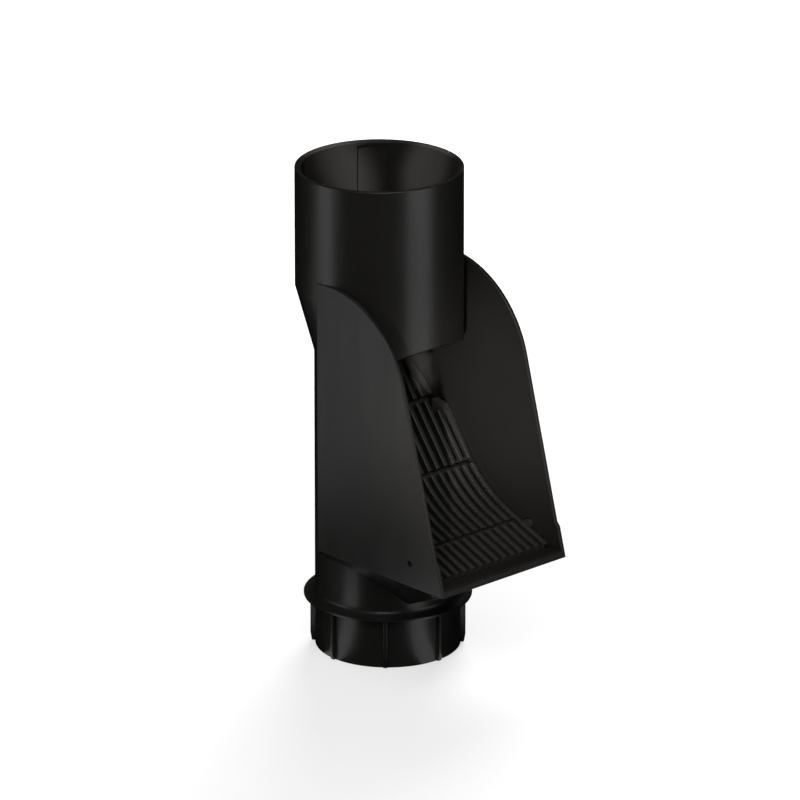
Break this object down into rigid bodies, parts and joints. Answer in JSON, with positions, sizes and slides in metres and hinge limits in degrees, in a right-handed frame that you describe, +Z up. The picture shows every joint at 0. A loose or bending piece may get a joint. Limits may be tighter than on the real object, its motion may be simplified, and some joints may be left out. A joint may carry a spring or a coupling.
{
  "type": "downpipe leaf filter",
  "caption": "Open-fronted rainwater downpipe leaf filter: a round socket above, two side plates around a slanted grille, a hopper below and a ribbed spigot under a collar.",
  "frame": {"origin": "centre of the spigot's lower end, on the spigot's axis", "axes": "+Z up along the pipe, -Y towards the open front, X across between the side plates"},
  "size_m": [0.0746, 0.1171, 0.221],
  "materials": {
    "black_moulding": "satin",
    "black_grille": "satin"
  },
  "bodies": {
    "root": {"filter_body": "black_moulding", "leaf_grille": "black_grille"}
  },
  "joints": []
}
